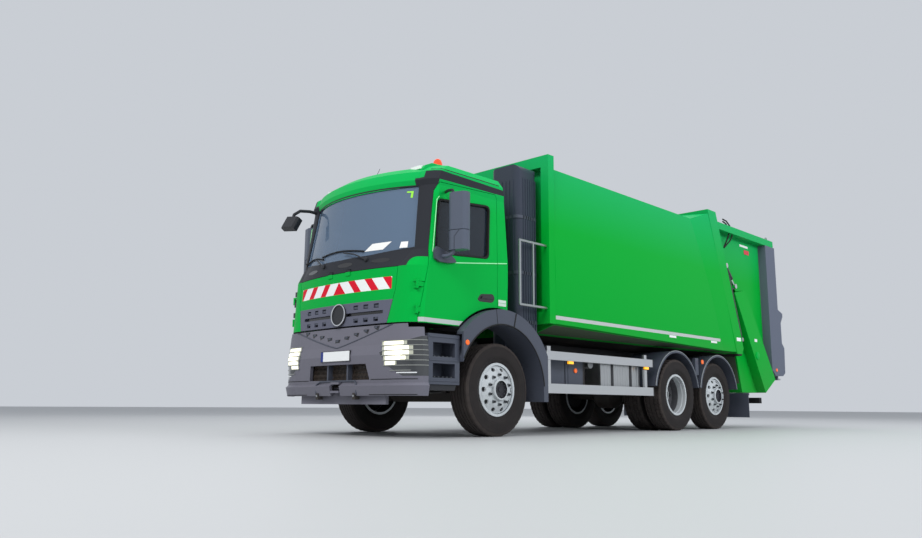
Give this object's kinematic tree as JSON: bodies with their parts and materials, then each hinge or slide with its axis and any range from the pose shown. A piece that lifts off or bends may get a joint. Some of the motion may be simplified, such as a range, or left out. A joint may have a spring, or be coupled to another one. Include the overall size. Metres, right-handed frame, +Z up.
{
  "type": "garbage truck",
  "caption": "Rear loading refuse truck with a green cab and compactor body, dark bumper, silver rims, hinged tailgate with packer, bin lifter and folding riding steps.",
  "frame": {"origin": "on the ground below the middle of the vehicle's bounding box", "axes": "+Z up, the front faces -Y, the vehicle's left is +X"},
  "size_m": [2.9486, 9.5996, 3.5798],
  "materials": {
    "body_green": "gloss",
    "door_green": "gloss",
    "dark_steel": "satin",
    "column_grey": "satin",
    "plastic_grey": "matte",
    "plastic_dark": "matte",
    "window": "gloss",
    "lamp": "gloss",
    "tank_metal": "satin",
    "guard_metal": "satin",
    "rail_chrome": "gloss",
    "cylinder_paint": "gloss",
    "rim_silver": "satin",
    "tyre_rubber": "matte"
  },
  "bodies": {
    "vehicle": {"chassis_frame": "dark_steel", "axles": "dark_steel", "suspension": "dark_steel", "powertrain": "dark_steel", "subframe": "dark_steel", "fuel_tank": "tank_metal", "side_equipment": "dark_steel", "side_guards": "guard_metal", "rear_mudguards": "plastic_grey", "mud_flaps": "plastic_grey", "front_bumper": "plastic_grey", "headlamps": "lamp", "front_fenders": "plastic_grey", "intake_tower": "plastic_grey", "grab_rail": "rail_chrome", "body_shell": "body_green", "body_frames": "body_green"},
    "cab": {"cab_shell": "body_green", "cab_interior": "plastic_dark", "cab_glass": "window", "cab_fittings": "plastic_dark"},
    "flap": {"front_flap": "body_green", "grille": "plastic_dark"},
    "door_left": {"door_left": "door_green", "door_glass_left": "window", "mirror_left": "plastic_dark"},
    "door_right": {"door_right": "door_green", "door_glass_right": "window", "mirror_right": "plastic_dark"},
    "ejector": {"ejector_plate": "dark_steel"},
    "knuckle_front_left": {"knuckle_front_left": "dark_steel"},
    "knuckle_front_right": {"knuckle_front_right": "dark_steel"},
    "track_rod_front": {"track_rod_front": "dark_steel"},
    "knuckle_tag_left": {"knuckle_tag_left": "dark_steel"},
    "knuckle_tag_right": {"knuckle_tag_right": "dark_steel"},
    "track_rod_tag": {"track_rod_tag": "dark_steel"},
    "wheel_front_left": {"wheel_front_left": "rim_silver", "tyre_front_left": "tyre_rubber"},
    "wheel_front_right": {"wheel_front_right": "rim_silver", "tyre_front_right": "tyre_rubber"},
    "wheel_drive_left": {"wheel_drive_left": "rim_silver", "tyre_drive_left": "tyre_rubber"},
    "wheel_drive_right": {"wheel_drive_right": "rim_silver", "tyre_drive_right": "tyre_rubber"},
    "wheel_tag_left": {"wheel_tag_left": "rim_silver", "tyre_tag_left": "tyre_rubber"},
    "wheel_tag_right": {"wheel_tag_right": "rim_silver", "tyre_tag_right": "tyre_rubber"},
    "tailgate": {"tailgate_shell": "body_green", "slide_guides": "body_green", "rear_columns": "column_grey"},
    "carriage": {"packer_carriage": "dark_steel"},
    "blade": {"packer_blade": "dark_steel"},
    "lift_barrels": {"lift_barrels": "cylinder_paint"},
    "lift_rods": {"lift_rods": "rail_chrome"},
    "packer_barrels": {"packer_barrels": "cylinder_paint"},
    "packer_rods": {"packer_rods": "rail_chrome"},
    "bin_lifter": {"bin_lifter": "column_grey"},
    "riding_step_left": {"riding_step_left": "column_grey"},
    "riding_step_right": {"riding_step_right": "column_grey"}
  },
  "joints": [
    {"name": "steer_front_left", "type": "hinge", "parent": "vehicle", "child": "knuckle_front_left", "pos_m": [0.9, -3.36, 0.525], "axis": [0, 0, 1], "range_deg": [-38, 38]},
    {"name": "steer_front_right", "type": "hinge", "parent": "vehicle", "child": "knuckle_front_right", "pos_m": [-0.9, -3.36, 0.525], "axis": [0, 0, 1], "range_deg": [-38, 38]},
    {"name": "track_rod_front", "type": "hinge", "parent": "knuckle_front_left", "child": "track_rod_front", "pos_m": [0.9, -3.18, 0.43], "axis": [0, 0, 1], "range_deg": [-38, 38]},
    {"name": "steer_tag_left", "type": "hinge", "parent": "vehicle", "child": "knuckle_tag_left", "pos_m": [0.9, 1.99, 0.525], "axis": [0, 0, 1], "range_deg": [-13.31, 13.31]},
    {"name": "steer_tag_right", "type": "hinge", "parent": "vehicle", "child": "knuckle_tag_right", "pos_m": [-0.9, 1.99, 0.525], "axis": [0, 0, 1], "range_deg": [-13.31, 13.31]},
    {"name": "track_rod_tag", "type": "hinge", "parent": "knuckle_tag_left", "child": "track_rod_tag", "pos_m": [0.9, 2.17, 0.43], "axis": [0, 0, 1], "range_deg": [-13.31, 13.31]},
    {"name": "spin_front_left", "type": "hinge", "parent": "knuckle_front_left", "child": "wheel_front_left", "pos_m": [1.02, -3.36, 0.525], "axis": [1, 0, 0], "continuous": true},
    {"name": "spin_front_right", "type": "hinge", "parent": "knuckle_front_right", "child": "wheel_front_right", "pos_m": [-1.02, -3.36, 0.525], "axis": [1, 0, 0], "continuous": true},
    {"name": "spin_drive_left", "type": "hinge", "parent": "vehicle", "child": "wheel_drive_left", "pos_m": [0.9, 0.64, 0.525], "axis": [1, 0, 0], "continuous": true},
    {"name": "spin_drive_right", "type": "hinge", "parent": "vehicle", "child": "wheel_drive_right", "pos_m": [-0.9, 0.64, 0.525], "axis": [1, 0, 0], "continuous": true},
    {"name": "spin_tag_left", "type": "hinge", "parent": "knuckle_tag_left", "child": "wheel_tag_left", "pos_m": [1.02, 1.99, 0.525], "axis": [1, 0, 0], "continuous": true},
    {"name": "spin_tag_right", "type": "hinge", "parent": "knuckle_tag_right", "child": "wheel_tag_right", "pos_m": [-1.02, 1.99, 0.525], "axis": [1, 0, 0], "continuous": true},
    {"name": "cab_tilt", "type": "hinge", "parent": "vehicle", "child": "cab", "pos_m": [0, -4.688, 0.9], "axis": [1, 0, 0], "range_deg": [0, 60]},
    {"name": "door_left_swing", "type": "hinge", "parent": "cab", "child": "door_left", "pos_m": [1.114, -4.6, 1.29], "axis": [0, 0, -1], "range_deg": [0, 70]},
    {"name": "door_right_swing", "type": "hinge", "parent": "cab", "child": "door_right", "pos_m": [-1.114, -4.6, 1.29], "axis": [0, 0, 1], "range_deg": [0, 70]},
    {"name": "flap_swing", "type": "hinge", "parent": "cab", "child": "flap", "pos_m": [0, -4.774, 1.825], "axis": [-1, 0, 0], "range_deg": [0, 80]},
    {"name": "ejector_slide", "type": "slide", "parent": "vehicle", "child": "ejector", "axis": [0, 1, 0], "range_m": [0, 3.3]},
    {"name": "tailgate_lift", "type": "hinge", "parent": "vehicle", "child": "tailgate", "pos_m": [0, 1.96, 3.5], "axis": [1, 0, 0], "range_deg": [0, 80]},
    {"name": "lift_barrel_swing", "type": "hinge", "parent": "vehicle", "child": "lift_barrels", "pos_m": [0, 2.872, 1.49], "axis": [1, 0, 0], "range_deg": [-18.29, 0]},
    {"name": "lift_rod_slide", "type": "slide", "parent": "lift_barrels", "child": "lift_rods", "axis": [0, -0.3389, 0.9408], "range_m": [0, 1.0304]},
    {"name": "packer_slide", "type": "slide", "parent": "tailgate", "child": "carriage", "axis": [0, 0.5532, -0.833], "range_m": [0, 0.56]},
    {"name": "packer_barrel_swing", "type": "hinge", "parent": "tailgate", "child": "packer_barrels", "pos_m": [0, 2.35, 2.96], "axis": [1, 0, 0], "range_deg": [-5.2, 0]},
    {"name": "packer_rod_slide", "type": "slide", "parent": "packer_barrels", "child": "packer_rods", "axis": [0, 0.7187, -0.6954], "range_m": [0, 0.553]},
    {"name": "blade_swing", "type": "hinge", "parent": "carriage", "child": "blade", "pos_m": [0, 3.10784, 1.93731], "axis": [1, 0, 0], "range_deg": [-5, 75]},
    {"name": "bin_lift", "type": "hinge", "parent": "tailgate", "child": "bin_lifter", "pos_m": [0, 4.52, 1.23], "axis": [1, 0, 0], "range_deg": [0, 150]},
    {"name": "riding_step_left_fold", "type": "hinge", "parent": "tailgate", "child": "riding_step_left", "pos_m": [0.8975, 4.51, 0.87], "axis": [1, 0, 0], "range_deg": [0, 90]},
    {"name": "riding_step_right_fold", "type": "hinge", "parent": "tailgate", "child": "riding_step_right", "pos_m": [-0.8975, 4.51, 0.87], "axis": [1, 0, 0], "range_deg": [0, 90]}
  ],
  "couplings": [
    {"joint": "steer_front_right", "follows": "steer_front_left", "ratio": 1},
    {"joint": "track_rod_front", "follows": "steer_front_left", "ratio": -1},
    {"joint": "steer_tag_left", "follows": "steer_front_left", "ratio": -0.35},
    {"joint": "steer_tag_right", "follows": "steer_front_left", "ratio": -0.35},
    {"joint": "track_rod_tag", "follows": "steer_front_left", "ratio": 0.35},
    {"joint": "lift_barrel_swing", "follows": "tailgate_lift", "ratio": -0.22846},
    {"joint": "lift_rod_slide", "follows": "tailgate_lift", "m_per_rad": 0.73762},
    {"joint": "packer_barrel_swing", "follows": "packer_slide", "rad_per_m": -0.16173},
    {"joint": "packer_rod_slide", "follows": "packer_slide", "ratio": 0.98654}
  ]
}
